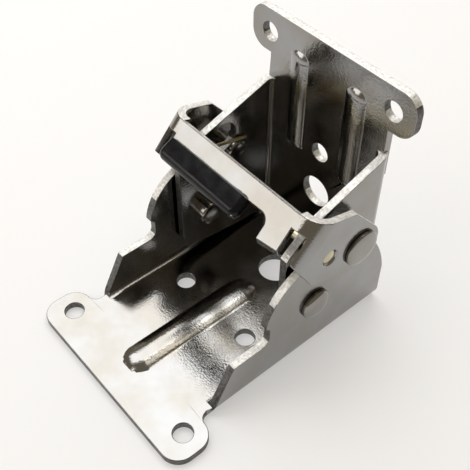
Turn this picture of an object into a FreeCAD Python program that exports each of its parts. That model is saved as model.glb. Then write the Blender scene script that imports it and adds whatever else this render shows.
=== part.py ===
import FreeCAD, Part
import math
import os

# Folding bracket for a table leg, in millimetres.
# The base bracket screws under the table top and the leg bracket takes the leg.
# The frame: X runs from the hinge end to the screw flange, Y across, Z up from the base's underside.
# The origin is the middle of the base's underside. The part is drawn open, as it holds a standing leg.

V = FreeCAD.Vector

# Sheet that both brackets are folded from
sheet = 2.2
bend_inside = 1.4
lever_sheet = 2.0
lever_bend_inside = 3.2

# Clearances
running_gap = 0.05
side_gap = 0.8
lever_side_gap = 0.6
sweep_gap = 0.3
seat_gap = 0.3

# Base bracket
base_length = 74.6
base_width = 48.2
flange_width = 60.0
flange_depth = 12.8
flange_corner = 5.0
neck_width = 46.0
neck_round = 2.4
ear_hole_radius = 2.6
ear_hole_inset = 7.2
ear_hole_spacing = 47.7
inner_hole_radius = 2.6
inner_hole_from_rear = 38.0
inner_hole_spacing = 25.1
access_hole_radius = 4.7
access_hole_from_rear = 15.9
base_bead_start = 31.3
base_bead_end = 60.8
base_bead_half = 4.4
bead_rise = 1.3

# Cheeks of the base bracket, measured from the rear end and the underside
cheek_front = 59.0
cheek_shelf_front = 51.4
cheek_shelf_height = 14.2
cheek_rear_height = 13.0
cheek_shoulder_gap = 1.9
cheek_shoulder_from_rear = 7.4
cheek_bulge = 1.1
notch_depth = 1.3
notch_round = 2.6
lip_angle = 9.0

# Hinge between the two brackets
hinge_from_rear = 25.7
hinge_height = 18.4
hinge_shank_radius = 2.9
hinge_head_radius = 4.3
hinge_head_height = 2.5
hinge_tail_radius = 3.5
hinge_tail_length = 3.6

# Leg bracket
leg_setback = 0.2
leg_height = 70.0
leg_bottom = 3.6
leg_flange_width = 53.4
leg_flange_depth = 12.1
leg_flange_corner = 4.6
leg_neck_width = 39.6
leg_ear_hole_radius = 2.6
leg_ear_hole_spacing = 40.4
leg_ear_hole_inset = 6.3
leg_small_hole_radius = 2.7
leg_small_hole_height = 37.7
leg_big_hole_radius = 4.6
leg_big_hole_height = 23.8
leg_bead_spacing = 19.0
leg_bead_half = 2.7
leg_bead_low = 37.6
leg_bead_high = 59.0
leg_bead_rise = 1.1
leg_cheek_top_rear = 51.6
leg_cheek_top_front = 43.3
leg_cheek_top_length = 25.2
leg_cheek_reach = 33.2
leg_cheek_nose_height = 36.5
leg_cheek_foot_height = 5.8
leg_cheek_foot_round = 6.0
leg_cheek_heel = 11.8

# Lever rivets, placed around the hinge
lever_pivot_radius = 18.5
lever_pivot_angle = 126.9
lever_shoulder_radius = 2.1
lever_journal_radius = 1.7
lever_head_radius = 5.0
lever_head_height = 1.3
lever_tail_radius = 3.0
lever_tail_height = 1.3

# Lock pin, placed around the hinge
pin_radius = 2.0
pin_angle = 92.6
pin_recess = 0.4
pin_countersink = 0.5
pin_slot_radius = 4.2
pin_slot_length = 6.7
pin_slot_turn = 156.0

# Lever yoke: eyes around the rivet and the pin, a horn, and a sloping web
lever_eye_radius = 6.3
lever_lobe_radius = 7.6
horn_from_rear = 17.5
horn_height = 46.4
web_top_from_rear = 29.7
web_top_height = 50.0
web_slope = 47.5
web_width = 10.0
web_chin_drop = 1.7
web_chin_run = 1.15
web_bare = 4.3
relief_width = 3.7
relief_start = 3.8
tab_slope = 28.0
tab_length = 5.4
tab_far = -20.9
tab_near = 7.0
tab_notch = 7.3

# Dipped grip on the tab
grip_wall = 1.1
grip_start = 0.4
grip_round = 1.9

# Torsion spring on the lock pin
spring_wire = 1.0
spring_turns = 7
spring_pitch = 1.25
spring_gap = 0.25
spring_steps = 12
spring_tip = 2.0

# Derived places, in the part's frame
rear = -base_length / 2
front = base_length / 2
half_base = base_width / 2
base_inner = half_base - sheet
half_leg = base_inner - side_gap
leg_inner = half_leg - sheet
lever_inner = half_base + lever_side_gap
lever_outer = lever_inner + lever_sheet
hinge_x = rear + hinge_from_rear
leg_back = rear + leg_setback
leg_face = leg_back + sheet
reach = 200.0


def around_hinge(radius, angle):
    """Point in the X, Z plane at a radius and angle from the hinge."""
    turn = math.radians(angle)
    return (hinge_x + radius * math.cos(turn), hinge_height + radius * math.sin(turn))


lever_pivot = around_hinge(lever_pivot_radius, lever_pivot_angle)
cheek_arc_radius = lever_pivot_radius - lever_shoulder_radius - sweep_gap
pin_place_radius = cheek_arc_radius + pin_radius + sweep_gap
lock_pin_place = around_hinge(pin_place_radius, pin_angle)
cheek_shoulder_height = lever_pivot[1] - lever_shoulder_radius - cheek_shoulder_gap


def side(point, y=0.0):
    """A point of the X, Z side view, at a given Y."""
    return V(point[0], y, point[1])


def box(low, high):
    return Part.makeBox(high[0] - low[0], high[1] - low[1], high[2] - low[2], V(*low))


def cylinder_y(place, radius, y0, y1):
    return Part.makeCylinder(radius, y1 - y0, side(place, y0), V(0, 1, 0))


def prism(edges, direction):
    return Part.Face(Part.Wire(edges)).extrude(direction)


def polygon(points):
    return Part.makePolygon(points + points[:1]).Edges


def rounded_plate(low, high, corner, to_point, direction):
    """Flat plate with rounded corners; to_point turns plan coordinates into a point."""
    (a0, b0), (a1, b1) = low, high
    middle = corner * (1 - math.sqrt(0.5))
    edges = []
    corners = [(a1, b0, -1, 1), (a1, b1, -1, -1), (a0, b1, 1, -1), (a0, b0, 1, 1)]
    stops = []
    for index, (a, b, sa, sb) in enumerate(corners):
        along_a = (a + sa * corner, b)
        along_b = (a, b + sb * corner)
        first, last = (along_a, along_b) if index % 2 == 0 else (along_b, along_a)
        bow = (a + sa * middle, b + sb * middle)
        stops.append((first, bow, last))
    for index, (first, bow, last) in enumerate(stops):
        edges.append(Part.Arc(to_point(*first), to_point(*bow), to_point(*last)).toShape())
        following = stops[(index + 1) % len(stops)][0]
        edges.append(Part.LineSegment(to_point(*last), to_point(*following)).toShape())
    return prism(edges, direction)


def channel(half_width, thickness, inside, depth, length):
    """Folded U with its web's outer face on Z = 0, legs up +Z, run along +X."""
    outer = box((0, -half_width, 0), (length, half_width, depth))
    outside_edges = [e for e in outer.Edges if is_bend(e, half_width, 0.0)]
    outer = outer.makeFillet(inside + thickness, outside_edges)
    inner_half = half_width - thickness
    inner = box((-1, -inner_half, thickness), (length + 1, inner_half, depth + 1))
    inside_edges = [e for e in inner.Edges if is_bend(e, inner_half, thickness)]
    inner = inner.makeFillet(inside, inside_edges)
    return outer.cut(inner)


def is_bend(edge, half_width, height):
    """True for an edge along X at the foot of a channel's leg."""
    a, b = (vertex.Point for vertex in edge.Vertexes)
    along = abs(a.x - b.x) > 1e-6
    at_side = abs(abs(a.y) - half_width) < 1e-6 and abs(a.y - b.y) < 1e-6
    at_height = abs(a.z - height) < 1e-6 and abs(b.z - height) < 1e-6
    return along and at_side and at_height


def neck_corners(half):
    """Hollow rounds where the base's neck runs out into the two ears."""
    ear_rear = front - flange_depth
    rounds = []
    for way in (-1, 1):
        low, high = sorted((way * half, way * (half + neck_round)))
        block = box((ear_rear - neck_round, low, 0), (ear_rear, high, sheet))
        centre = V(ear_rear - neck_round, way * (half + neck_round), 0)
        rounds.append(block.cut(Part.makeCylinder(neck_round, sheet, centre)))
    return rounds


def bead(start, end, half, rise, thickness):
    """Pressed bead along X on a sheet that lies on Z = 0: the swell above and the hollow below."""
    radius = (half ** 2 + rise ** 2) / (2 * rise)
    centre = thickness + rise - radius
    swell = capsule(start, end, radius, centre).common(box((start - half, -half, 0), (end + half, half, reach)))
    hollow = capsule(start, end, radius - thickness, centre)
    return swell, hollow


def capsule(start, end, radius, centre):
    """Round bar along X with ball ends, its axis at Z = centre."""
    bar = Part.makeCylinder(radius, end - start, V(start, 0, centre), V(1, 0, 0))
    for x in (start, end):
        ball = Part.makeSphere(radius, V(x, 0, centre), V(1, 0, 0), -90, 90, 360)
        bar = bar.fuse(ball)
    return bar.removeSplitter()


def tangent_from(point, centre, radius, sign):
    """Where a line from a point touches a circle; sign picks the side."""
    dx = point[0] - centre[0]
    dz = point[1] - centre[1]
    turn = math.atan2(dz, dx) + sign * math.acos(radius / math.hypot(dx, dz))
    return (centre[0] + radius * math.cos(turn), centre[1] + radius * math.sin(turn))


def shared_tangent(first, first_radius, second, second_radius, sign):
    """The two ends of the line that touches two circles, the first one to the left; sign 1 picks the upper line."""
    dx = second[0] - first[0]
    dz = second[1] - first[1]
    turn = math.atan2(dz, dx) + sign * math.acos((first_radius - second_radius) / math.hypot(dx, dz))
    ends = []
    for centre, radius in ((first, first_radius), (second, second_radius)):
        ends.append((centre[0] + radius * math.cos(turn), centre[1] + radius * math.sin(turn)))
    return ends


def arc_on(centre, radius, start, end, clockwise):
    """Arc on a circle of the side view, from one of its points to another."""
    a0 = math.atan2(start[1] - centre[1], start[0] - centre[0])
    a1 = math.atan2(end[1] - centre[1], end[0] - centre[0])
    full = 2 * math.pi
    sweep = -((a0 - a1) % full) if clockwise else (a1 - a0) % full
    middle = a0 + sweep / 2
    bow = (centre[0] + radius * math.cos(middle), centre[1] + radius * math.sin(middle))
    return Part.Arc(side(start), side(bow), side(end)).toShape()


def line(start, end):
    return Part.LineSegment(side(start), side(end)).toShape()


def across(edges):
    """Side view run the whole width of the part, as a tool for shaping a channel."""
    tool = prism(edges, V(0, 2 * reach, 0))
    tool.translate(V(0, -reach, 0))
    return tool


def base_side_view():
    """Outline of the base's cheeks and plate, seen from the side."""
    shoulder = (rear + cheek_shoulder_from_rear, cheek_shoulder_height)
    rear_top = (rear, cheek_rear_height)
    half_way = ((shoulder[0] + rear_top[0]) / 2, (shoulder[1] + rear_top[1]) / 2)
    rise = math.hypot(shoulder[0] - rear_top[0], shoulder[1] - rear_top[1])
    bulge = (
        half_way[0] - cheek_bulge * (shoulder[1] - rear_top[1]) / rise,
        half_way[1] + cheek_bulge * (shoulder[0] - rear_top[0]) / rise,
    )
    arc_start_rise = cheek_shoulder_height - hinge_height
    arc_start = (hinge_x - math.sqrt(cheek_arc_radius ** 2 - arc_start_rise ** 2), cheek_shoulder_height)
    lip = around_hinge(cheek_arc_radius, lip_angle)
    throat = (lip[0] - notch_depth, lip[1] - notch_depth)
    wall_foot = (throat[0], cheek_shelf_height + notch_round)
    shelf_start = (throat[0] + notch_round, cheek_shelf_height)
    shelf_bow = (
        throat[0] + notch_round * (1 - math.sqrt(0.5)),
        cheek_shelf_height + notch_round * (1 - math.sqrt(0.5)),
    )
    shelf_end = (rear + cheek_shelf_front, cheek_shelf_height)
    toe = (rear + cheek_front, 0.0)
    heel = (rear, 0.0)
    return [
        line(heel, rear_top),
        Part.Arc(side(rear_top), side(bulge), side(shoulder)).toShape(),
        line(shoulder, arc_start),
        arc_on((hinge_x, hinge_height), cheek_arc_radius, arc_start, lip, True),
        line(lip, throat),
        line(throat, wall_foot),
        Part.Arc(side(wall_foot), side(shelf_bow), side(shelf_start)).toShape(),
        line(shelf_start, shelf_end),
        line(shelf_end, toe),
        line(toe, heel),
    ]


def base_bracket():
    body = channel(half_base, sheet, bend_inside, reach, base_length)
    body.translate(V(rear, 0, 0))
    body = body.common(across(base_side_view()))
    plan = lambda a, b: V(a, b, 0)
    up = V(0, 0, sheet)
    half_flange = flange_width / 2
    flange = rounded_plate((front - flange_depth, -half_flange), (front, half_flange), flange_corner, plan, up)
    neck_half = neck_width / 2
    neck = box((rear + cheek_front - sheet, -neck_half, 0), (front - flange_depth / 2, neck_half, sheet))
    swell, hollow = bead(rear + base_bead_start, rear + base_bead_end, base_bead_half, bead_rise, sheet)
    body = body.fuse([flange, neck, swell] + neck_corners(neck_half)).removeSplitter()
    body = body.cut(hollow)
    holes = []
    for y in (-0.5, 0.5):
        holes.append((front - ear_hole_inset, y * ear_hole_spacing, ear_hole_radius))
        holes.append((rear + inner_hole_from_rear, y * inner_hole_spacing, inner_hole_radius))
    holes.append((rear + access_hole_from_rear, 0.0, access_hole_radius))
    for x, y, radius in holes:
        body = body.cut(Part.makeCylinder(radius, 3 * sheet, V(x, y, -sheet)))
    hinge = (hinge_x, hinge_height)
    body = body.cut(cylinder_y(hinge, hinge_shank_radius, -half_base - 1, half_base + 1))
    seat = around_hinge(pin_place_radius - notch_depth, pin_angle)
    return body.cut(cylinder_y(seat, pin_radius + sweep_gap, -half_base - 1, half_base + 1))


def leg_side_view():
    """Outline of the leg bracket's cheeks and plate, seen from the side."""
    nose_x = leg_back + leg_cheek_reach
    top_rear = (leg_back, leg_cheek_top_rear)
    top_front = (leg_back + leg_cheek_top_length, leg_cheek_top_front)
    nose = (nose_x, leg_cheek_nose_height)
    r = leg_cheek_foot_round
    foot_start = (nose_x, leg_cheek_foot_height + r)
    foot_bow = (nose_x - r * (1 - math.sqrt(0.5)), leg_cheek_foot_height + r * (1 - math.sqrt(0.5)))
    foot_end = (nose_x - r, leg_cheek_foot_height)
    heel_front = (leg_back + leg_cheek_heel, leg_bottom)
    heel = (leg_back, leg_bottom)
    return [
        line(heel, top_rear),
        line(top_rear, top_front),
        line(top_front, nose),
        line(nose, foot_start),
        Part.Arc(side(foot_start), side(foot_bow), side(foot_end)).toShape(),
        line(foot_end, heel_front),
        line(heel_front, heel),
    ]


def stand_up(shape):
    """Turn a shape made flat on Z = 0 so that its +Z side faces +X on the leg's plate, and its +X runs up."""
    turn = FreeCAD.Matrix()
    turn.A11, turn.A12, turn.A13, turn.A14 = 0, 0, 1, leg_back
    turn.A21, turn.A22, turn.A23, turn.A24 = 0, -1, 0, 0
    turn.A31, turn.A32, turn.A33, turn.A34 = 1, 0, 0, 0
    return shape.transformed(turn)


def leg_bracket():
    body = stand_up(channel(half_leg, sheet, bend_inside, reach, leg_height))
    body = body.common(across(leg_side_view()))
    plan = lambda a, b: V(leg_back, a, b)
    forward = V(sheet, 0, 0)
    half_flange = leg_flange_width / 2
    flange_low = leg_height - leg_flange_depth
    flange = rounded_plate((-half_flange, flange_low), (half_flange, leg_height), leg_flange_corner, plan, forward)
    neck_half = leg_neck_width / 2
    neck_low = leg_cheek_top_front
    neck_high = leg_height - leg_flange_depth / 2
    neck = box((leg_back, -neck_half, neck_low), (leg_face, neck_half, neck_high))
    body = body.fuse([flange, neck])
    swells = []
    hollows = []
    for y in (-0.5, 0.5):
        swell, hollow = bead(leg_bead_low, leg_bead_high, leg_bead_half, leg_bead_rise, sheet)
        for shape, group in ((swell, swells), (hollow, hollows)):
            shape.translate(V(0, y * leg_bead_spacing, 0))
            group.append(stand_up(shape))
    body = body.fuse(swells).removeSplitter().cut(hollows)
    ear_height = leg_height - leg_ear_hole_inset
    holes = [
        (-leg_ear_hole_spacing / 2, ear_height, leg_ear_hole_radius),
        (leg_ear_hole_spacing / 2, ear_height, leg_ear_hole_radius),
        (0.0, leg_small_hole_height, leg_small_hole_radius),
        (0.0, leg_big_hole_height, leg_big_hole_radius),
    ]
    for y, z, radius in holes:
        body = body.cut(Part.makeCylinder(radius, 4 * sheet, V(leg_back - sheet, y, z), V(1, 0, 0)))
    hinge = (hinge_x, hinge_height)
    body = body.cut(cylinder_y(hinge, hinge_shank_radius + running_gap, -half_leg - 1, half_leg + 1))
    body = body.cut(cylinder_y(lever_pivot, lever_journal_radius, -half_leg - 1, half_leg + 1))
    return body.cut(pin_slot())


def pin_slot():
    """Long hole that lets the lock pin rise when the lever is lifted."""
    turn = math.radians(pin_slot_turn)
    far_end = (
        lock_pin_place[0] + pin_slot_length * math.cos(turn),
        lock_pin_place[1] + pin_slot_length * math.sin(turn),
    )
    tools = [cylinder_y(end, pin_slot_radius, -half_leg - 1, half_leg + 1) for end in (lock_pin_place, far_end)]
    across_x = -pin_slot_radius * math.sin(turn)
    across_z = pin_slot_radius * math.cos(turn)
    corners = [
        (lock_pin_place[0] + across_x, lock_pin_place[1] + across_z),
        (far_end[0] + across_x, far_end[1] + across_z),
        (far_end[0] - across_x, far_end[1] - across_z),
        (lock_pin_place[0] - across_x, lock_pin_place[1] - across_z),
    ]
    middle = prism(polygon([side(c, -half_leg - 1) for c in corners]), V(0, 2 * half_leg + 2, 0))
    return tools[0].fuse([tools[1], middle])


# The lever's web lies on a slope: along runs down the web, out is its outward normal.
web_top = (rear + web_top_from_rear, web_top_height)
web_turn = math.radians(web_slope)
along = (math.cos(web_turn), -math.sin(web_turn))
out = (math.sin(web_turn), math.cos(web_turn))


def on_web(u, n=0.0):
    """Side-view point at a distance down the web and out from its face."""
    return (web_top[0] + u * along[0] + n * out[0], web_top[1] + u * along[1] + n * out[1])


def web_block(u0, u1, n0, n1, y0, y1):
    """Block whose sides follow the web's slope."""
    corners = [on_web(u0, n0), on_web(u1, n0), on_web(u1, n1), on_web(u0, n1)]
    return prism(polygon([side(c, y0) for c in corners]), V(0, y1 - y0, 0))


# The finger tab is bent a little flatter than the web, along a line across the web.
tab_turn = math.radians(tab_slope)
tab_along = (math.cos(tab_turn), -math.sin(tab_turn))
tab_out = (math.sin(tab_turn), math.cos(tab_turn))
tab_root = on_web(web_bare)


def on_tab(s, n=0.0):
    """Side-view point at a distance down the tab and out from its face."""
    return (tab_root[0] + s * tab_along[0] + n * tab_out[0], tab_root[1] + s * tab_along[1] + n * tab_out[1])


def finger_tab():
    half_bend = (web_turn - tab_turn) / 2
    inner_start = -lever_sheet * math.tan(half_bend)
    corners = [
        on_web(web_bare - lever_sheet), tab_root, on_tab(tab_length),
        on_tab(tab_length, -lever_sheet), on_tab(inner_start, -lever_sheet),
        on_web(web_bare - lever_sheet, -lever_sheet),
    ]
    return prism(polygon([side(c, tab_far) for c in corners]), V(0, tab_near - tab_far, 0))


def lever_side_view():
    """Outline of the lever's legs and web, seen from the side."""
    horn = (rear + horn_from_rear, horn_height)
    chin = on_web(web_width + web_chin_run, -web_chin_drop)
    web_end = on_web(web_width)
    eye_top = tangent_from(horn, lever_pivot, lever_eye_radius, 1)
    eye_low, lobe_low = shared_tangent(lever_pivot, lever_eye_radius, lock_pin_place, lever_lobe_radius, -1)
    lobe_top = tangent_from(chin, lock_pin_place, lever_lobe_radius, -1)
    return [
        line(web_top, horn),
        line(horn, eye_top),
        arc_on(lever_pivot, lever_eye_radius, eye_top, eye_low, False),
        line(eye_low, lobe_low),
        arc_on(lock_pin_place, lever_lobe_radius, lobe_low, lobe_top, False),
        line(lobe_top, chin),
        line(chin, web_end),
        line(web_end, web_top),
    ]


def lay_on_web(shape):
    """Turn a channel run along +X with its face on Z = 0 so that its face lies on the web."""
    turn = FreeCAD.Matrix()
    turn.A11, turn.A12, turn.A13, turn.A14 = along[0], 0, -out[0], web_top[0]
    turn.A21, turn.A22, turn.A23, turn.A24 = 0, -1, 0, 0
    turn.A31, turn.A32, turn.A33, turn.A34 = along[1], 0, -out[1], web_top[1]
    return shape.transformed(turn)


def lever_yoke():
    run = channel(lever_outer, lever_sheet, lever_bend_inside, reach, 2 * reach)
    run.translate(V(-reach, 0, 0))
    body = lay_on_web(run).common(across(lever_side_view()))
    relief_inner = half_base + lever_side_gap / 2 - relief_width
    trims = [
        web_block(relief_start, reach, -2 * lever_sheet, sheet, relief_inner, lever_inner),
        web_block(relief_start, reach, -2 * lever_sheet, sheet, -lever_inner, -relief_inner),
        web_block(web_bare, reach, -2 * lever_sheet, sheet, -relief_inner - 1, tab_near + tab_notch),
    ]
    body = body.cut(trims)
    body = body.fuse(finger_tab()).removeSplitter()
    body = body.cut(cylinder_y(lever_pivot, lever_journal_radius + running_gap, -lever_outer - 1, lever_outer + 1))
    body = body.cut(cylinder_y(lock_pin_place, pin_radius, -lever_outer - 1, lever_outer + 1))
    for way in (-1, 1):
        start = side(lock_pin_place, way * (lever_outer - pin_countersink))
        wide = pin_radius + pin_countersink
        sink = Part.makeCone(pin_radius, wide, pin_countersink, start, V(0, way, 0))
        body = body.cut(sink)
    return body


def grip_sleeve():
    """Dipped skin that wraps the tab, with rounded edges and an open root."""
    low, high = -lever_sheet - grip_wall, grip_wall
    end = tab_length + grip_wall
    corners = [on_tab(grip_start, low), on_tab(end, low), on_tab(end, high), on_tab(grip_start, high)]
    far, near = tab_far - grip_wall / 2, tab_near + grip_wall / 2
    skin = prism(polygon([side(c, far) for c in corners]), V(0, near - far, 0))
    keep = []
    for edge in skin.Edges:
        offsets = [(v.X - tab_root[0]) * tab_along[0] + (v.Z - tab_root[1]) * tab_along[1] for v in edge.Vertexes]
        if max(offsets) > grip_start + 1e-6:
            keep.append(edge)
    skin = skin.makeFillet(grip_round, keep)
    return skin.cut(lever_yoke())


def turned(profile, place, way):
    """Rivet turned about a Y axis; the profile lists radius and distance along Y from the middle."""
    points = [V(radius, y, 0) for radius, y in profile]
    solid = prism_revolve(points)
    if way < 0:
        solid = solid.mirror(V(0, 0, 0), V(0, 1, 0))
    solid.translate(side(place))
    return solid


def prism_revolve(points):
    face = Part.Face(Part.Wire(polygon(points)))
    return face.revolve(V(0, 0, 0), V(0, 1, 0), 360)


def hinge_rivet(way):
    """Lower rivet: domed head outside the base cheek, shank through both cheeks, tail inside the leg."""
    head_foot = half_base
    head_top = half_base + hinge_head_height
    rim = hinge_head_height * 0.4
    tail_top = leg_inner - running_gap
    tail_foot = tail_top - hinge_tail_length
    bevel = hinge_tail_radius * 0.15
    profile = [
        (0, tail_foot),
        (hinge_tail_radius - bevel, tail_foot),
        (hinge_tail_radius, tail_foot + bevel),
        (hinge_tail_radius, tail_top),
        (hinge_shank_radius, tail_top),
        (hinge_shank_radius, head_foot),
        (hinge_head_radius, head_foot),
        (hinge_head_radius, head_foot + rim),
        (hinge_head_radius * 0.86, head_top - rim * 0.45),
        (hinge_head_radius * 0.6, head_top - rim * 0.08),
        (0, head_top),
    ]
    return turned(profile, (hinge_x, hinge_height), way)


def lever_rivet(way):
    """Upper rivet: flat head outside the lever, shoulder past the base cheek, tail inside the leg."""
    head_foot = lever_outer + running_gap
    head_top = head_foot + lever_head_height
    bevel = lever_head_height * 0.3
    tail_foot = leg_inner - lever_tail_height
    profile = [
        (0, tail_foot),
        (lever_tail_radius - bevel, tail_foot),
        (lever_tail_radius, tail_foot + bevel),
        (lever_tail_radius, leg_inner),
        (lever_journal_radius, leg_inner),
        (lever_journal_radius, half_leg),
        (lever_shoulder_radius, half_leg),
        (lever_shoulder_radius, lever_inner - running_gap),
        (lever_journal_radius, lever_inner - running_gap),
        (lever_journal_radius, head_foot),
        (lever_head_radius, head_foot),
        (lever_head_radius, head_top - bevel),
        (lever_head_radius - bevel, head_top),
        (0, head_top),
    ]
    return turned(profile, lever_pivot, way)


def lock_pin():
    end = lever_outer - pin_recess
    return cylinder_y(lock_pin_place, pin_radius, -end, end)


def lock_spring():
    """One wire: an arm over the lever rivet's tail, the coil around the lock pin, and an arm to the lever's web."""
    wire = spring_wire / 2
    coil_radius = pin_radius + spring_gap + wire
    rest_radius = lever_tail_radius + seat_gap + wire
    start_y = lever_tail_height / 2 - leg_inner
    end_y = start_y + spring_turns * spring_pitch
    rest, coil_start = shared_tangent(lever_pivot, rest_radius, lock_pin_place, coil_radius, 1)
    arm = V(coil_start[0] - rest[0], 0, coil_start[1] - rest[1]).normalize()
    first_turn = math.atan2(coil_start[1] - lock_pin_place[1], coil_start[0] - lock_pin_place[0])
    web_rest = on_web(web_bare / 2, -lever_sheet - seat_gap - wire)
    coil_end = tangent_from(web_rest, lock_pin_place, coil_radius, 1)
    last_turn = math.atan2(coil_end[1] - lock_pin_place[1], coil_end[0] - lock_pin_place[0])
    last_turn -= 2 * math.pi * spring_turns
    steps = spring_turns * spring_steps
    points = [side(rest, start_y) - arm * spring_tip]
    for step in range(steps + 1):
        turn = first_turn + (last_turn - first_turn) * step / steps
        y = start_y + (end_y - start_y) * step / steps
        place = (lock_pin_place[0] + coil_radius * math.cos(turn), lock_pin_place[1] + coil_radius * math.sin(turn))
        points.append(side(place, y))
    points.append(side(web_rest, end_y))
    section = Part.Wire(Part.makeCircle(wire, points[0], arm))
    return Part.makePolygon(points).makePipeShell([section], True, False, 1)


def build():
    nodes = {
        "base_bracket": base_bracket(),
        "leg_bracket": leg_bracket(),
        "lever_yoke": lever_yoke(),
        "grip_sleeve": grip_sleeve(),
        "hinge_rivet_left": hinge_rivet(1),
        "hinge_rivet_right": hinge_rivet(-1),
        "lever_rivet_left": lever_rivet(1),
        "lever_rivet_right": lever_rivet(-1),
        "lock_pin": lock_pin(),
        "lock_spring": lock_spring(),
    }
    os.makedirs("parts", exist_ok=True)
    for name, shape in nodes.items():
        solids = shape.Solids
        print(name, len(solids), "solid", shape.isValid(), round(shape.Volume, 2), "mm3")
        solids[0].exportStep("parts/" + name + ".step")
    print("hinge at", round(hinge_x, 3), hinge_height)
    print("lever pivot at", [round(v, 3) for v in lever_pivot])
    print("lock pin at", [round(v, 3) for v in lock_pin_place])


build()
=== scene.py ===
# %% [markdown]
# # A folding table leg bracket, dressed in Blender
# The bracket is three folded pieces of bright plated sheet steel: a base that screws under a table,
# a leg channel that hinges between its cheeks, and a lever that holds the two open.
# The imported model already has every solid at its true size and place. This script gives the sheet its rolled
# edges, makes the turned and wound pieces smooth, dips the grip, and finds a finish for each of them.

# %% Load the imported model
import math

import bpy
from mathutils import Matrix, Vector


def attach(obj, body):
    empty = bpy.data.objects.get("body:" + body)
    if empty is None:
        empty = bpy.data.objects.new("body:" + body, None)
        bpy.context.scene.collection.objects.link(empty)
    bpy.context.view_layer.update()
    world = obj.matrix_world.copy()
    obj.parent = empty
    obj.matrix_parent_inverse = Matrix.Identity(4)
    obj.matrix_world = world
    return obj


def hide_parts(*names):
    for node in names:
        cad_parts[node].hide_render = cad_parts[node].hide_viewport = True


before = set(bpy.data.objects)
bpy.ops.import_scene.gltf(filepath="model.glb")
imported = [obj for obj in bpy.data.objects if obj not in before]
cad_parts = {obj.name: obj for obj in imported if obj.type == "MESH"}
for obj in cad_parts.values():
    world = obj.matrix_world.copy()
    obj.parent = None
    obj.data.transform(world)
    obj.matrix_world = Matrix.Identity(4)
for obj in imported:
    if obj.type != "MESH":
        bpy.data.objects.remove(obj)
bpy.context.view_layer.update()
MM = 0.001
scene = bpy.context.scene
scene.view_settings.view_transform = "Standard"
print("nodes:", sorted(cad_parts))

# %% [markdown]
# ## Camera
# The camera was found from the screw holes and edges of the photograph. It looks down at about 48 degrees
# over the near front corner of the base, with a lens a little longer than normal, so far edges shrink only
# slightly. Its three axes are worked out from a turn, a rise and a roll and set as one matrix, because Euler
# angles are harder to read back.

# %% Camera at the photograph's angle
CAMERA_EYE = Vector((81.11, 102.93, 176.07)) * MM
CAMERA_TURN = math.radians(139.62)
CAMERA_RISE = math.radians(47.90)
CAMERA_ROLL = math.radians(0.11)
FOCAL_PIXELS = 800.23
PHOTO_PIXELS = 470
SENSOR_MM = 36.0
NEAREST_SEEN = 0.01

camera_back = Vector((
    math.sin(CAMERA_TURN) * math.cos(CAMERA_RISE),
    -math.cos(CAMERA_TURN) * math.cos(CAMERA_RISE),
    math.sin(CAMERA_RISE),
))
level_right = (-camera_back).cross(Vector((0, 0, 1))).normalized()
level_up = level_right.cross(-camera_back)
camera_right = math.cos(CAMERA_ROLL) * level_right + math.sin(CAMERA_ROLL) * level_up
camera_up = camera_back.cross(camera_right)
camera_data = bpy.data.cameras.new("camera")
camera_data.sensor_width = SENSOR_MM
camera_data.lens = FOCAL_PIXELS * SENSOR_MM / PHOTO_PIXELS
camera_data.clip_start = NEAREST_SEEN
camera = bpy.data.objects.new("camera", camera_data)
scene.collection.objects.link(camera)
turn = Matrix((camera_right, camera_up, camera_back)).transposed().to_4x4()
camera.matrix_world = Matrix.Translation(CAMERA_EYE) @ turn
scene.camera = camera
print("lens", round(camera_data.lens, 1), "mm")

# %% [markdown]
# ## Floor
# The bracket lies on white paper. Paper under soft lamps renders grey, and more light would burn out the metal,
# so a share of the floor's shader is a plain white glow. Only rays from the camera, off a mirror or through
# something clear see the glow, so it lights nothing, and the rest of the shader keeps the bracket's shadow.


# %% Floor
def deselect():
    """Nothing stays selected, so that the next operator acts on the new piece alone."""
    for obj in bpy.context.selected_objects:
        obj.select_set(False)


def node_tree(name):
    """New material, with its nodes and links at hand."""
    material = bpy.data.materials.new(name)
    material.use_nodes = True
    return material, material.node_tree.nodes, material.node_tree.links


def add(nodes, kind, **values):
    """Node with its settings given by name."""
    node = nodes.new(kind)
    for key, value in values.items():
        setattr(node, key, value)
    return node


FLOOR_SIZE = 8.0
FLOOR_DROP = 0.02 * MM
PAPER_WHITE = 0.42
deselect()
bpy.ops.mesh.primitive_plane_add(size=FLOOR_SIZE, location=(0, 0, -FLOOR_DROP))
floor = bpy.context.object
floor.name = "floor"
floor_paint, nodes, links = node_tree("floor_paper")
paper = nodes["Principled BSDF"]
paper.inputs["Base Color"].default_value = (0.90, 0.90, 0.90, 1)
paper.inputs["Roughness"].default_value = 0.9
paper.inputs["Specular IOR Level"].default_value = 0.1
white = add(nodes, "ShaderNodeEmission")
seen = add(nodes, "ShaderNodeLightPath")
total = seen.outputs["Is Camera Ray"]
for ray in ("Is Glossy Ray", "Is Transmission Ray"):
    either = add(nodes, "ShaderNodeMath", operation="MAXIMUM")
    links.new(total, either.inputs[0])
    links.new(seen.outputs[ray], either.inputs[1])
    total = either.outputs["Value"]
share = add(nodes, "ShaderNodeMath", operation="MULTIPLY")
share.inputs[1].default_value = PAPER_WHITE
links.new(total, share.inputs[0])
blend = add(nodes, "ShaderNodeMixShader")
links.new(share.outputs["Value"], blend.inputs["Fac"])
links.new(paper.outputs["BSDF"], blend.inputs[1])
links.new(white.outputs["Emission"], blend.inputs[2])
links.new(blend.outputs["Shader"], nodes["Material Output"].inputs["Surface"])
floor.data.materials.append(floor_paint)
print("floor", FLOOR_SIZE, "m square")

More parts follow.
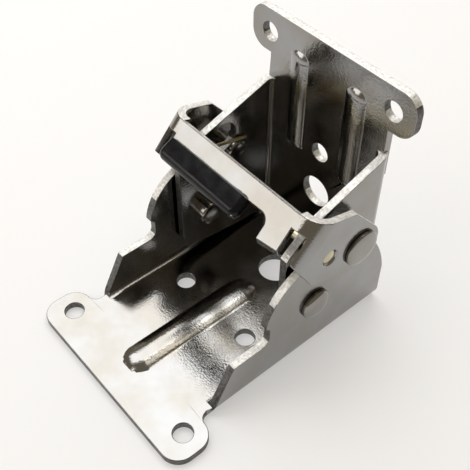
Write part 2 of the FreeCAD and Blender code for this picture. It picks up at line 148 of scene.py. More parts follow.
# %% [markdown]
# ## Lamps and surroundings
# Bright plating shows its surroundings more than its own colour, so the lamps are laid out as a product
# photographer does, as soft faces that the metal can mirror. The broad back lamp turns the base plate nearly
# white, the front card does so for the lever's web, and the warm top card tints slopes that face the near side.
# The low card fills in behind the bracket, and the strip draws a line of light on bends that face the front.
# The rest of the surroundings are dim and warm, which gives the metal its depth.

# %% Lamps and world
LAMP_AIM = Vector((0, 0, 30)) * MM


def soft_lamp(name, direction, distance, size, radiance, tint):
    """Soft lamp that faces the middle of the bracket; its radiance is how bright its own face looks."""
    data = bpy.data.lights.new(name, "AREA")
    data.shape = "RECTANGLE"
    data.size, data.size_y = size
    data.energy = radiance * math.pi * size[0] * size[1]
    data.color = tint
    lamp = bpy.data.objects.new(name, data)
    scene.collection.objects.link(lamp)
    lamp.location = LAMP_AIM + Vector(direction).normalized() * distance
    lamp.rotation_euler = (lamp.location - LAMP_AIM).to_track_quat("Z", "Y").to_euler()


# Name, direction from the bracket, distance, size of the face, radiance, tint.
soft_lamp("back_lamp", (-0.24, -0.44, 0.87), 0.60, (0.68, 0.44), 2.9, (0.98, 0.99, 1.0))
soft_lamp("top_card", (-0.42, 0.10, 0.90), 0.60, (0.26, 0.26), 2.1, (1.0, 0.95, 0.84))
soft_lamp("front_card", (0.76, -0.50, 0.40), 0.50, (0.34, 0.22), 2.3, (1.0, 0.985, 0.955))
soft_lamp("low_card", (-0.66, -0.66, 0.30), 0.70, (0.70, 0.22), 0.9, (1.0, 0.98, 0.95))
soft_lamp("strip_lamp", (0.66, -0.10, 0.74), 0.50, (0.08, 0.26), 2.7, (1.0, 0.98, 0.94))
world = bpy.data.worlds.new("surroundings")
scene.world = world
world.use_nodes = True
sky = world.node_tree.nodes["Background"]
sky.inputs["Color"].default_value = (0.300, 0.258, 0.200, 1)
sky.inputs["Strength"].default_value = 1.0

# %% [markdown]
# ## How a metal is mixed
# Every metal here has the same make-up: two tints in clouds, a roughness that varies, a fine grain and a soft
# wave. One function builds it, so that each metal below is a single line of values. All the noises read
# Object coordinates, in metres, so a scale of 1000 gives marks of about a millimetre on every piece.


# %% Noise, spread and bump
def noise(nodes, links, place, scale, detail=2.0):
    """Cloudy pattern fixed to the piece."""
    node = add(nodes, "ShaderNodeTexNoise")
    node.inputs["Scale"].default_value = scale
    node.inputs["Detail"].default_value = detail
    links.new(place.outputs["Object"], node.inputs["Vector"])
    return node


def ramp(nodes, links, source, low, high, span=(0.35, 0.65)):
    """Spread a noise's middle over a range of values."""
    node = add(nodes, "ShaderNodeMapRange")
    node.inputs["From Min"].default_value, node.inputs["From Max"].default_value = span
    node.inputs["To Min"].default_value, node.inputs["To Max"].default_value = low, high
    links.new(source.outputs["Fac"], node.inputs["Value"])
    return node


def bump(nodes, links, height, strength, distance, before=None):
    """Let a pattern bend the light, on top of an earlier bump if there is one."""
    node = add(nodes, "ShaderNodeBump")
    node.inputs["Strength"].default_value = strength
    node.inputs["Distance"].default_value = distance
    links.new(height.outputs["Fac"], node.inputs["Height"])
    if before:
        links.new(before.outputs["Normal"], node.inputs["Normal"])
    return node


# %% One metal
ROUGH_PATCHES = 260.0


def metal(name, bright, warm, clouding, rough, grain, waves, shine=1.0):
    """Metal with two tints in clouds, uneven roughness, fine grain and soft waves."""
    material, nodes, links = node_tree(name)
    shader = nodes["Principled BSDF"]
    shader.inputs["Metallic"].default_value = shine
    place = add(nodes, "ShaderNodeTexCoord")
    clouds = noise(nodes, links, place, clouding, 3.0)
    tint = add(nodes, "ShaderNodeMix", data_type="RGBA")
    tint.inputs["A"].default_value = (*bright, 1)
    tint.inputs["B"].default_value = (*warm, 1)
    links.new(ramp(nodes, links, clouds, 0.0, 1.0).outputs["Result"], tint.inputs["Factor"])
    links.new(tint.outputs["Result"], shader.inputs["Base Color"])
    spread = ramp(nodes, links, noise(nodes, links, place, ROUGH_PATCHES, 4.0), *rough)
    links.new(spread.outputs["Result"], shader.inputs["Roughness"])
    swell = bump(nodes, links, noise(nodes, links, place, waves[0], 1.0), waves[1], waves[2])
    fine = bump(nodes, links, noise(nodes, links, place, grain[0], 3.0), grain[1], grain[2], swell)
    links.new(fine.outputs["Normal"], shader.inputs["Normal"])
    print("metal:", name)
    return material


# %% [markdown]
# ## Plated sheet and its cuts
# The sheet was pickled, bright nickel plated and tumbled: a clean mirror at arm's length that up close has
# a fine grain and soft waves from the press. Two noises at those two sizes bend the reflections, so the border
# between a bright and a dark reflection breaks up into specks.
# The cuts across the sheet are rough. Those that face up are painted pale as painted light, with a finish only
# partly metallic, and the upright cuts and the walls of the holes are painted dark as painted shade.

# %% Plating, and the cut finish as painted light and painted shade
TORN_SHINE = 0.45
plating = metal(
    "bright_plating", bright=(0.315, 0.315, 0.315), warm=(0.285, 0.272, 0.25), clouding=90.0, rough=(0.09, 0.18),
    grain=(1800.0, 0.23, 0.00014), waves=(110.0, 0.03, 0.0004))
# Pale cut finish: painted light for the cut faces that face up.
sheared = metal(
    "torn_edge_painted_light", bright=(0.90, 0.90, 0.89), warm=(0.62, 0.61, 0.59), clouding=1400.0, rough=(0.30, 0.50),
    grain=(1500.0, 0.8, 0.00025), waves=(600.0, 0.5, 0.0003), shine=TORN_SHINE)
# Dark cut finish: painted shade for the other cut faces.
dull_cut = metal(
    "dull_cut", bright=(0.20, 0.20, 0.195), warm=(0.10, 0.10, 0.095), clouding=1400.0, rough=(0.35, 0.55),
    grain=(1500.0, 0.6, 0.0002), waves=(600.0, 0.4, 0.0003))

# %% [markdown]
# ## Metals of the small parts
# The rivets are plated like the sheet but more satin, and the upright wall around the head is painted dark as
# painted shade. The pin and the spring have a yellow passivated finish, which reads as pale gold.

# %% Rivet, painted rim shade, pin and spring metals
rivet_metal = metal(
    "rivet_plating", bright=(0.30, 0.292, 0.278), warm=(0.265, 0.252, 0.23), clouding=200.0, rough=(0.12, 0.24),
    grain=(3000.0, 0.16, 0.00006), waves=(420.0, 0.20, 0.0002))
# Dark finish for the upright wall of a rivet head: painted shade.
rivet_rim = metal(
    "rivet_rim_painted_shade", bright=(0.22, 0.21, 0.195), warm=(0.13, 0.125, 0.115), clouding=400.0, rough=(0.30, 0.48),
    grain=(3000.0, 0.3, 0.0001), waves=(500.0, 0.3, 0.0002))
pin_metal = metal(
    "yellow_passivated_pin", bright=(0.66, 0.60, 0.44), warm=(0.52, 0.47, 0.34), clouding=300.0, rough=(0.18, 0.30),
    grain=(3000.0, 0.2, 0.00006), waves=(420.0, 0.20, 0.0002))
spring_metal = metal(
    "yellow_spring_wire", bright=(0.62, 0.52, 0.28), warm=(0.48, 0.42, 0.27), clouding=300.0, rough=(0.20, 0.34),
    grain=(4000.0, 0.2, 0.00004), waves=(900.0, 0.1, 0.0001))

# %% [markdown]
# ## Sheet pieces
# Pressed sheet never has a razor edge: the die rolls it over a little. A copy of each packed sheet solid is
# merged, its flat triangles are joined, and a narrow bevel softens its sharp edges, so that they catch the lamp.
# A Bevel modifier would do all edges alike. Edit mode lets the script leave out the few places where a fold runs
# out to nothing, because a bevel there pulls out a spike.

# %% Choose edges
EDGE_ROLL = 0.22 * MM
SHARP = math.radians(35)
THIN_TIPS = [
    Vector((x, side * y, z)) for side in (-1, 1)
    for x, y, z in ((19.5, 20.5, 0.0), (20.5, 20.5, 2.2), (-37.1, 17.5, 43.3), (-34.9, 17.5, 50.9))
]
TIP_REACH = 1.5


def work_on(piece):
    """Make a piece the only selected and the active one."""
    deselect()
    piece.select_set(True)
    bpy.context.view_layer.objects.active = piece


def pick_edges(piece, wanted):
    """Select in edge mode only the edges that a test wants, and stay in edit mode."""
    bpy.ops.object.mode_set(mode="OBJECT")
    for group in (piece.data.vertices, piece.data.polygons):
        for item in group:
            item.select = False
    for edge in piece.data.edges:
        ends = [piece.data.vertices[i].co / MM for i in edge.vertices]
        edge.select = wanted(edge, ends)
    bpy.ops.object.mode_set(mode="EDIT")


def off_the_tips(edge, ends):
    """A sharp edge that keeps clear of the thin tips."""
    return edge.select and all((end - tip).length > TIP_REACH for end in ends for tip in THIN_TIPS)


print("edges rolled by", round(EDGE_ROLL / MM, 2), "mm, but not at", len(THIN_TIPS), "tips")

# %% Copy a sheet solid and roll its edges
MERGE = 1e-7
FLAT = math.radians(0.6)


def merge_all():
    """In edit mode, join points that share a place, with every edge selected."""
    bpy.ops.object.mode_set(mode="EDIT")
    bpy.ops.mesh.select_mode(type="EDGE")
    bpy.ops.mesh.select_all(action="SELECT")
    bpy.ops.mesh.remove_doubles(threshold=MERGE)


def fit(piece, node, body):
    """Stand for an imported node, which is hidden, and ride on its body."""
    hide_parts(node)
    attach(piece, body)
    print(piece.name, len(piece.data.polygons), "faces")


def soft_copy(node, name, body, dress):
    """Copy of a packed sheet, dressed by a function of its own, with a narrow roll on its sharp edges."""
    piece = bpy.data.objects.new(name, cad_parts[node].data.copy())
    scene.collection.objects.link(piece)
    work_on(piece)
    piece.data.materials.clear()
    for finish in (plating, sheared, dull_cut):
        piece.data.materials.append(finish)
    merge_all()
    bpy.ops.mesh.dissolve_limited(angle_limit=FLAT)
    dress(piece)
    bpy.ops.mesh.select_all(action="DESELECT")
    bpy.ops.mesh.edges_select_sharp(sharpness=SHARP)
    pick_edges(piece, off_the_tips)
    bpy.ops.mesh.bevel(offset=EDGE_ROLL, segments=2, affect="EDGES", clamp_overlap=False)
    bpy.ops.object.mode_set(mode="OBJECT")
    fit(piece, node, body)
    return piece


print("sheet copies take", [finish.name for finish in (plating, sheared, dull_cut)])

# %% [markdown]
# ## Beads of the base and the leg
# A bead is a rib pressed into the sheet to stiffen it. In the photograph the beads are a little longer and
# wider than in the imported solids. Modelling them anew would break the sheet around them, so the edges inside a
# box around each bead are stretched about its middle, swell and hollow together.

# %% Base and leg sheets, their beads drawn out
BASE_BEADS = [(Vector((8.75, 0, 0)), Vector((19.3, 4.8, 9)), Vector((1.12, 1.04, 1)))]
LEG_BEADS = [(Vector((-35.4, y, 48.5)), Vector((3, 3.1, 13.5)), Vector((1, 1.25, 1.15))) for y in (-9.5, 9.5)]


def draw_out(piece, beads):
    """Stretch each pressed bead that lies within reach of its middle."""
    for middle, reach, grow in beads:
        pick_edges(piece, lambda edge, ends: all(
            abs(end[axis] - middle[axis]) < reach[axis] for end in ends for axis in range(3)))
        bpy.ops.transform.resize(value=grow, center_override=middle * MM)
        print("bead drawn out by", tuple(round(part, 2) for part in grow))


base_sheet = soft_copy("base_bracket", "base_sheet", "base", lambda piece: draw_out(piece, BASE_BEADS))
leg_sheet = soft_copy("leg_bracket", "leg_sheet", "leg", lambda piece: draw_out(piece, LEG_BEADS))

# %% [markdown]
# ## Lever
# The lever's web is a strap across the front, with a finger tab bent from it and a notch punched beside the tab.
# The web's top edge is cut square to the sheet, so a block that lies on the web's slope is subtracted by a
# Boolean modifier. It reaches a little past the old edge, because two faces in one plane leave slivers. The tab
# then slides down the web to its place, and a bevel rounds the notch's corner as the punch left it.

# %% The web's and the tab's slopes
LEVER_SHEET = 2.0
WEB_TOP = Vector((-7.6, 0, 50.0))
WEB_SLOPE = math.radians(47.5)
WEB_ALONG = Vector((math.cos(WEB_SLOPE), 0, -math.sin(WEB_SLOPE)))
WEB_OUT = Vector((math.sin(WEB_SLOPE), 0, math.cos(WEB_SLOPE)))
WEB_BARE = 4.3
TAB_SLOPE = math.radians(28.0)
TAB_SHIFT = 0.8
TAB_ROOT = WEB_TOP + WEB_ALONG * (WEB_BARE + TAB_SHIFT)
TAB_ALONG = Vector((math.cos(TAB_SLOPE), 0, -math.sin(TAB_SLOPE)))
TAB_OUT = Vector((math.sin(TAB_SLOPE), 0, math.cos(TAB_SLOPE)))


def sloped_block(name, root, along, out, spans):
    """Block that lies on a slope: spans down the slope, out from its face, and across."""
    (s0, s1), (n0, n1), (y0, y1) = spans
    deselect()
    middle = root + along * (s0 + s1) / 2 + out * (n0 + n1) / 2 + Vector((0, (y0 + y1) / 2, 0))
    tilt = math.atan2(-along.z, along.x)
    bpy.ops.mesh.primitive_cube_add(size=1, location=middle * MM, rotation=(0, tilt, 0))
    block = bpy.context.object
    block.name = name
    block.scale = Vector((s1 - s0, y1 - y0, n1 - n0)) * MM
    bpy.ops.object.transform_apply(location=True, rotation=True, scale=True)
    return block


def down_web(end):
    """Distance down the web from its top edge."""
    return (end - WEB_TOP).dot(WEB_ALONG)


print("tab root at", tuple(round(part, 2) for part in TAB_ROOT), "mm")

# %% Lever sheet, its web trimmed square
WEB_TRIM, WEB_TRIM_HALF = 0.15, 20.6
TRIM_SPANS = (-6, WEB_TRIM), (-8, 2), (-WEB_TRIM_HALF, WEB_TRIM_HALF)
TAB_FAR = -21.0
NOTCH_SIDE = 14.3
NOTCH_ROUND = 2.4
ABOVE_TAB = 0.45
TOUCH = 0.05


def in_the_tab(edge, ends):
    """Edges of the tab and of the notch's upper side."""
    return all(down_web(end) > WEB_BARE - ABOVE_TAB and TAB_FAR < end.y < NOTCH_SIDE + TOUCH for end in ends)


def on_notch_corner(edge, ends):
    """The upright edge in the corner of the notch beside the tab."""
    return all(
        abs(down_web(end) - WEB_BARE - TAB_SHIFT) < TOUCH and abs(end.y - NOTCH_SIDE) < TOUCH for end in ends)


def trim_web(piece):
    """Cut the web's top edge square to its sheet, shift the tab, and round the notch."""
    bpy.ops.object.mode_set(mode="OBJECT")
    trim = sloped_block("web_trim", WEB_TOP, WEB_ALONG, WEB_OUT, TRIM_SPANS)
    work_on(piece)
    cut = piece.modifiers.new("web_trim", "BOOLEAN")
    cut.operation = "DIFFERENCE"
    cut.object = trim
    bpy.ops.object.modifier_apply(modifier="web_trim")
    bpy.data.objects.remove(trim)
    work_on(piece)
    merge_all()
    pick_edges(piece, in_the_tab)
    bpy.ops.transform.translate(value=WEB_ALONG * TAB_SHIFT * MM)
    pick_edges(piece, on_notch_corner)
    bpy.ops.mesh.bevel(offset=NOTCH_ROUND * MM, segments=6, affect="EDGES")


lever_sheet = soft_copy("lever_yoke", "lever_sheet", "lever", trim_web)

# %% [markdown]
# ## Smooth bends beside flat faces
# Smooth shading blends the normals of neighbours, and beside a narrow roll that makes a flat plate look swollen,
# which a mirror finish shows at once. The Weighted Normal modifier lets the largest face at each point set the
# normal, so flats stay flat mirrors and only the bends and rolls turn the light.

# %% Smooth the sheets
FOLD = math.radians(16)
LARGEST_RULES = 100


def true_faces(piece, angle):
    """Shade bends and rolls smoothly, while each large face keeps its own normal."""
    work_on(piece)
    bpy.ops.object.shade_smooth_by_angle(angle=angle)
    weigh = piece.modifiers.new("true_faces", "WEIGHTED_NORMAL")
    weigh.mode = "FACE_AREA"
    weigh.weight = LARGEST_RULES
    weigh.keep_sharp = True
    bpy.ops.object.modifier_apply(modifier="true_faces")
    print(piece.name, "bends smoothed")


true_faces(base_sheet, SHARP)
true_faces(leg_sheet, SHARP)
true_faces(lever_sheet, FOLD)

# %% [markdown]
# ## Sheared edges
# A press shears the blank, so the narrow faces across the sheet's thickness are torn, not rolled smooth. They are
# picked by where they lie and which way they face, because the imported mesh has no groups to go by. Those that
# face upwards are painted pale as painted light, and the rest dark as painted shade.

# %% Tell which faces lie across the sheet
SHEET = 2.2
BASE_CHEEK, BASE_CHEEK_END = (21.8, 24.2), 21.6
LEG_CHEEK, LEG_CHEEK_END = (18.8, 21.2), 51.5
LEG_PLATE_FACE = -34.8
WEB_HALF = 20.0
OFF_CHEEK, OFF_PLATE, OFF_WEB, OFF_BEND = 0.5, 0.4, 0.6, 0.5
SLACK = 0.1


def on_base_edge(place, facing):
    """Faces across the base sheet: around the plate and its holes, and over the tops of the cheeks."""
    in_cheek = BASE_CHEEK[0] < abs(place.y) < BASE_CHEEK[1] and place.x < BASE_CHEEK_END
    if place.z > SHEET + SLACK:
        return in_cheek and abs(facing.y) < OFF_CHEEK
    return abs(facing.z) < OFF_PLATE and not (in_cheek and abs(facing.y) > OFF_CHEEK)


def on_leg_edge(place, facing):
    """Faces across the leg sheet: around the plate and its holes, and along the cheeks."""
    in_cheek = LEG_CHEEK[0] < abs(place.y) < LEG_CHEEK[1] and place.z < LEG_CHEEK_END
    if place.x > LEG_PLATE_FACE:
        return in_cheek and abs(facing.y) < OFF_CHEEK
    return abs(facing.x) < OFF_PLATE and not (in_cheek and abs(facing.y) > OFF_CHEEK)


def on_lever_edge(place, facing):
    """Faces across the lever sheet: the outline of both legs, the web's edges and the notch beside the tab."""
    if abs(place.y) < WEB_HALF:
        return max(abs(facing.dot(WEB_OUT)), abs(facing.dot(TAB_OUT))) < OFF_WEB
    return facing.y ** 2 + facing.dot(WEB_OUT) ** 2 < OFF_BEND


print("sheet", SHEET, "mm, lever sheet", LEVER_SHEET, "mm")

# %% Paint light or shade on the cut faces by which way they face
# Slots of the painted light and the painted shade on the cut faces, and how far up a face must point for painted
# light.
TORN, DULL = 1, 2
OPEN_EDGE = 0.55


def assign(piece, slot, wanted):
    """Give one of the piece's finishes to the faces that a test wants."""
    work_on(piece)
    bpy.ops.object.mode_set(mode="EDIT")
    bpy.ops.mesh.select_mode(type="FACE")
    bpy.ops.mesh.select_all(action="DESELECT")
    bpy.ops.object.mode_set(mode="OBJECT")
    for face in piece.data.polygons:
        face.select = wanted(face.center / MM, face.normal)
    piece.active_material_index = slot
    bpy.ops.object.mode_set(mode="EDIT")
    bpy.ops.object.material_slot_assign()
    bpy.ops.object.mode_set(mode="OBJECT")
    print(piece.name, sum(face.select for face in piece.data.polygons), "faces in", piece.data.materials[slot].name)


def shear(piece, on_edge):
    """Cut faces that face upwards get the pale finish as painted light, and the rest the dark finish as painted
    shade.
    """
    assign(piece, TORN, lambda place, facing: on_edge(place, facing) and facing.z > OPEN_EDGE)
    assign(piece, DULL, lambda place, facing: on_edge(place, facing) and facing.z <= OPEN_EDGE)


shear(base_sheet, on_base_edge)
shear(leg_sheet, on_leg_edge)
shear(lever_sheet, on_lever_edge)

# %% [markdown]
# ## Rivets and lock pin
# Rivets and the pin are turned parts, so each is drawn as a list of radius and distance along its axis.
# A disc is added at the tail and extruded ring by ring to the head, as a lathe would cut it. Spin would do the
# same from a drawn half profile, but it leaves a seam and a pole to merge. The rivets of the far side are
# copies, mirrored across the middle.

# %% Turn a profile
AROUND = 64
SMOOTH = math.radians(38)
DOME_TURN = math.radians(86)


def face_outwards():
    """Point all faces of the active piece outwards."""
    bpy.ops.object.mode_set(mode="EDIT")
    bpy.ops.mesh.select_all(action="SELECT")
    bpy.ops.mesh.normals_make_consistent(inside=False)
    bpy.ops.object.mode_set(mode="OBJECT")


def dome(radius, foot, height, rings, power):
    """Stations of a head that rises from its rim to nearly its middle; a lower power makes it flatter."""
    turns = [DOME_TURN * ring / rings for ring in range(rings + 1)]
    return [(radius * math.cos(turn) ** power, foot + height * math.sin(turn)) for turn in turns]


def turn_piece(name, stations, place, finish):
    """Extrude a disc through its stations along +Y, about an axis at a place of the side view."""
    deselect()
    x, z = place
    radius, along = stations[0]
    spot = Vector((x, along, z)) * MM
    bpy.ops.mesh.primitive_circle_add(
        vertices=AROUND, radius=radius * MM, fill_type="NGON", location=spot, rotation=(math.pi / 2, 0, 0))
    piece = bpy.context.object
    piece.name = name
    bpy.ops.object.mode_set(mode="EDIT")
    bpy.ops.mesh.select_mode(type="FACE")
    bpy.ops.mesh.select_all(action="SELECT")
    for new_radius, new_along in stations[1:]:
        step = (0, (new_along - along) * MM, 0)
        bpy.ops.mesh.extrude_region_move(TRANSFORM_OT_translate={"value": step})
        grow = new_radius / radius
        bpy.ops.transform.resize(value=(grow, grow, grow), center_override=Vector((x, new_along, z)) * MM)
        radius, along = new_radius, new_along
    face_outwards()
    bpy.ops.object.transform_apply(location=True, rotation=True, scale=True)
    bpy.ops.object.shade_smooth_by_angle(angle=SMOOTH)
    piece.data.materials.append(finish)
    return piece


print("turned pieces have", AROUND, "sides")

# %% Paint shade on the rim and copy to the far side
RIM_UPRIGHT = 0.45


def dull_rim(piece, low, high):
    """Paint shade on the upright wall of a head: its faces between two distances take the dark finish."""
    piece.data.materials.append(rivet_rim)
    walls = 0
    for face in piece.data.polygons:
        if low < face.center.y / MM < high and abs(face.normal.y) < RIM_UPRIGHT:
            face.material_index = 1
            walls += 1
    print(piece.name, walls, "wall faces")


def mirrored(piece, name):
    """Copy on the far side of the bracket, turned right side out again."""
    work_on(piece)
    bpy.ops.object.duplicate()
    copy = bpy.context.object
    copy.name = name
    copy.scale.y = -1
    bpy.ops.object.transform_apply(location=False, rotation=False, scale=True)
    face_outwards()
    return copy


print("rims are where a normal's share along the axis is under", RIM_UPRIGHT)

# %% [markdown]
# ## Hinge rivets
# The leg turns on these two. Each has its shank fixed in a base cheek, a domed head outside, and a tail spread
# inside the leg channel, which keeps the leg from sliding off. One profile gives all three, where a separate
# head, shank and tail would have to be joined.

# %% Hinge rivets
HINGE = (-11.6, 18.4)
HALF_BASE = 24.1
LEG_INNER = 18.9
RUNNING_GAP = 0.05
HINGE_TAIL_LENGTH = 3.6
HINGE_RIM = 0.9
hinge_tail_top = LEG_INNER - RUNNING_GAP
hinge_tail_foot = hinge_tail_top - HINGE_TAIL_LENGTH
hinge_stations = [
    (2.4, hinge_tail_foot), (3.1, hinge_tail_foot + 0.15), (3.4, hinge_tail_foot + 0.45),
    (3.5, hinge_tail_foot + 0.8), (3.5, hinge_tail_top), (2.9, hinge_tail_top), (2.9, HALF_BASE),
    (4.1, HALF_BASE), (4.26, HALF_BASE + 0.12), (4.3, HALF_BASE + 0.35),
]
hinge_stations += dome(radius=4.3, foot=HALF_BASE + 0.5, height=1.7, rings=14, power=0.95)
near_hinge_rivet = turn_piece("hinge_rivet_near", hinge_stations, HINGE, rivet_metal)
dull_rim(near_hinge_rivet, HALF_BASE, HALF_BASE + HINGE_RIM)
far_hinge_rivet = mirrored(near_hinge_rivet, "hinge_rivet_far")
fit(near_hinge_rivet, "hinge_rivet_left", "base")
fit(far_hinge_rivet, "hinge_rivet_right", "base")

# %% [markdown]
# ## Lever rivets
# The lever turns on these. The head is wide and nearly flat, so its dome is low, and a collar on the shank keeps
# the lever clear of the leg channel. The profile is turned as before, with the collar as two more stations.

# %% Lever rivets
LEVER_PIVOT = (-22.708, 33.194)
LEVER_OUTER = 26.7
HALF_LEG = 21.1
LEVER_INNER_FACE = 24.65
LEVER_TAIL, LEVER_TAIL_LENGTH = 3.0, 1.3
LEVER_RIM = 1.1
lever_tail_foot = LEG_INNER - LEVER_TAIL_LENGTH
lever_head_foot = LEVER_OUTER + RUNNING_GAP
lever_stations = [
    (1.8, lever_tail_foot), (2.6, lever_tail_foot + 0.12), (2.9, lever_tail_foot + 0.4),
    (LEVER_TAIL, lever_tail_foot + 0.7), (LEVER_TAIL, LEG_INNER), (1.7, LEG_INNER), (1.7, HALF_LEG),
    (2.1, HALF_LEG), (2.1, LEVER_INNER_FACE), (1.7, LEVER_INNER_FACE), (1.7, lever_head_foot),
    (4.8, lever_head_foot), (4.96, lever_head_foot + 0.12),
]
lever_stations += dome(radius=5.0, foot=lever_head_foot + 0.6, height=0.75, rings=12, power=0.45)
near_lever_rivet = turn_piece("lever_rivet_near", lever_stations, LEVER_PIVOT, rivet_metal)
dull_rim(near_lever_rivet, lever_head_foot, lever_head_foot + LEVER_RIM)
far_lever_rivet = mirrored(near_lever_rivet, "lever_rivet_far")
fit(near_lever_rivet, "lever_rivet_left", "leg")
fit(far_lever_rivet, "lever_rivet_right", "leg")

# %% [markdown]
# ## Lock pin
# The pin is a bar across both legs of the lever, with its ends chamfered. It is turned like the rivets, because
# a chamfer is then only a smaller ring.

# %% Lock pin
LOCK_PIN = (-12.435, 36.781)
PIN_RADIUS = 2.0
PIN_SUNK, PIN_CHAMFER = 0.4, 0.4
pin_end = LEVER_OUTER - PIN_SUNK
pin_stations = [
    (1.3, -pin_end), (1.75, -pin_end + 0.1), (PIN_RADIUS, -pin_end + PIN_CHAMFER),
    (PIN_RADIUS, pin_end - PIN_CHAMFER), (1.75, pin_end - 0.1), (1.3, pin_end),
]
lock_pin = turn_piece("lock_pin_bar", pin_stations, LOCK_PIN, pin_metal)
fit(lock_pin, "lock_pin", "lever")

# %% [markdown]
# ## Lock spring
# The spring is one wire wound around the lock pin. A small ring stands for the wire's section, a Screw modifier
# winds it into the coil, and the two ends are then extruded into straight arms: one lies over the far lever
# rivet's tail, the other presses under the lever's web. A bevelled curve would also do, but the Screw modifier
# keeps the turns exactly even.

# %% Where the wire runs
WIRE = 0.5
SPRING_GAP = 0.3
COIL_PLAY = 0.25
COIL_RADIUS = PIN_RADIUS + COIL_PLAY + WIRE
TURNS, PITCH = 7, 1.25
COIL_LENGTH = TURNS * PITCH
COIL_INSET = 0.65
COIL_START_Y = COIL_INSET - LEG_INNER
REST_RADIUS = LEVER_TAIL + SPRING_GAP + WIRE
REST_TIP = 2.0

run = Vector((LOCK_PIN[0] - LEVER_PIVOT[0], LOCK_PIN[1] - LEVER_PIVOT[1]))
first_turn = math.atan2(run.y, run.x) + math.acos((REST_RADIUS - COIL_RADIUS) / run.length)
rest_arm = math.sqrt(run.length ** 2 - (REST_RADIUS - COIL_RADIUS) ** 2) + REST_TIP
radial = Vector((math.cos(first_turn), 0, math.sin(first_turn)))
travel = Vector((math.sin(first_turn), 0, -math.cos(first_turn)))
coil_middle = Vector((LOCK_PIN[0], COIL_START_Y, LOCK_PIN[1]))
coil_start = coil_middle + radial * COIL_RADIUS
web_rest = WEB_TOP + WEB_ALONG * WEB_BARE / 2 - WEB_OUT * (LEVER_SHEET + SPRING_GAP + WIRE)
to_web = Vector((web_rest.x - LOCK_PIN[0], web_rest.z - LOCK_PIN[1]))
last_turn = math.atan2(to_web.y, to_web.x) + math.acos(COIL_RADIUS / to_web.length)
coil_end = coil_middle + Vector((
    COIL_RADIUS * math.cos(last_turn), COIL_LENGTH, COIL_RADIUS * math.sin(last_turn)))
web_rest.y = coil_end.y
print("coil of", TURNS, "turns,", round(COIL_LENGTH, 2), "mm long")

# %% Coil
WIRE_SIDES = 14
STEPS_A_TURN = 28
coil_frame = Matrix((radial, travel, Vector((0, 1, 0)))).transposed().to_4x4()
coil_frame.translation = coil_middle * MM
deselect()
bpy.ops.mesh.primitive_circle_add(vertices=WIRE_SIDES, radius=WIRE * MM, rotation=(math.pi / 2, 0, 0))
spring = bpy.context.object
spring.name = "lock_spring_wire"
bpy.ops.object.transform_apply(location=False, rotation=True, scale=False)
bpy.ops.object.mode_set(mode="EDIT")
bpy.ops.mesh.select_all(action="SELECT")
bpy.ops.transform.translate(value=(COIL_RADIUS * MM, 0, 0))
bpy.ops.object.mode_set(mode="OBJECT")
wind = spring.modifiers.new("wind", "SCREW")
wind.axis = "Z"
wind.angle = TURNS * 2 * math.pi + first_turn - last_turn
wind.screw_offset = COIL_LENGTH * MM
wind.steps = TURNS * STEPS_A_TURN
wind.render_steps = wind.steps
wind.use_normal_calculate = True
bpy.ops.object.modifier_apply(modifier="wind")
spring.matrix_world = coil_frame
bpy.ops.object.transform_apply(location=True, rotation=True, scale=True)
print("wound", len(spring.data.polygons), "faces")

# %% Arms
WIRE_SMOOTH = math.radians(50)
END_REACH = 1.1 * WIRE


def draw_arm(centre, shift):
    """Extrude the open end of the wire that lies around a point, and close it."""
    bpy.ops.object.mode_set(mode="EDIT")
    bpy.ops.mesh.select_mode(type="EDGE")
    bpy.ops.mesh.select_all(action="DESELECT")
    bpy.ops.mesh.select_non_manifold(
        use_wire=False, use_multi_face=False, use_non_contiguous=False, use_verts=False)
    pick_edges(spring, lambda edge, ends: edge.select and all((end - centre).length < END_REACH for end in ends))
    bpy.ops.mesh.extrude_edges_move(TRANSFORM_OT_translate={"value": shift * MM})
    bpy.ops.mesh.edge_face_add()
    bpy.ops.object.mode_set(mode="OBJECT")


draw_arm(coil_start, -travel * rest_arm)
draw_arm(coil_end, web_rest - coil_end)
face_outwards()
bpy.ops.object.shade_smooth_by_angle(angle=WIRE_SMOOTH)
spring.data.materials.append(spring_metal)
fit(spring, "lock_spring", "lever")
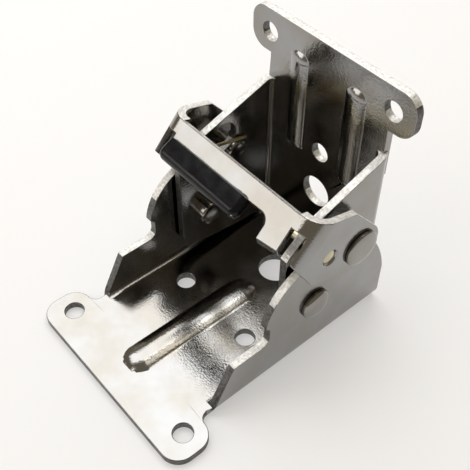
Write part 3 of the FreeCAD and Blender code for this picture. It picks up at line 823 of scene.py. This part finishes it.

# %% [markdown]
# ## Dipped grip
# The finger tab was dipped in soft black plastic, which runs together into a smooth skin with round ends. A block
# on the tab's slope is bevelled all over except around its mouth, where the skin ends square on the web.

# %% Grip
GRIP_WALL = 1.1
GRIP_START, GRIP_END = 0.1, 5.8
GRIP_FAR, GRIP_NEAR = -21.45, 7.55
GRIP_ROUND = 2.05
GRIP_SMOOTH = math.radians(50)
GRIP_SPANS = (GRIP_START, GRIP_END), (-LEVER_SHEET - GRIP_WALL, GRIP_WALL), (GRIP_FAR, GRIP_NEAR)


def past_the_mouth(edge, ends):
    """All edges of the block except the four around its open root."""
    return max((end - TAB_ROOT).dot(TAB_ALONG) for end in ends) > GRIP_START + TOUCH


grip = sloped_block("dipped_grip_skin", TAB_ROOT, TAB_ALONG, TAB_OUT, GRIP_SPANS)
bpy.ops.object.mode_set(mode="EDIT")
bpy.ops.mesh.select_mode(type="EDGE")
pick_edges(grip, past_the_mouth)
bpy.ops.mesh.bevel(offset=GRIP_ROUND * MM, segments=10, profile=0.5, affect="EDGES")
face_outwards()
true_faces(grip, GRIP_SMOOTH)

# %% [markdown]
# ## Dipped plastic
# The skin is nearly black and half glossy, so its surface shows only in how it reflects. A slow noise gives the
# sag of a dip that ran before it set, a fine one the pores, and the gloss varies a little from place to place.

# %% Dipped plastic
dipped, nodes, links = node_tree("dipped_plastic")
skin = nodes["Principled BSDF"]
skin.inputs["Base Color"].default_value = (0.004, 0.004, 0.006, 1)
skin.inputs["Specular IOR Level"].default_value = 0.25
place = add(nodes, "ShaderNodeTexCoord")
rough = ramp(nodes, links, noise(nodes, links, place, 300.0, 3.0), 0.16, 0.28)
links.new(rough.outputs["Result"], skin.inputs["Roughness"])
sag = bump(nodes, links, noise(nodes, links, place, 160.0, 1.0), 0.35, 0.0005)
pores = bump(nodes, links, noise(nodes, links, place, 3500.0, 2.0), 0.08, 0.00005, sag)
links.new(pores.outputs["Normal"], skin.inputs["Normal"])
grip.data.materials.append(dipped)
fit(grip, "grip_sleeve", "lever")
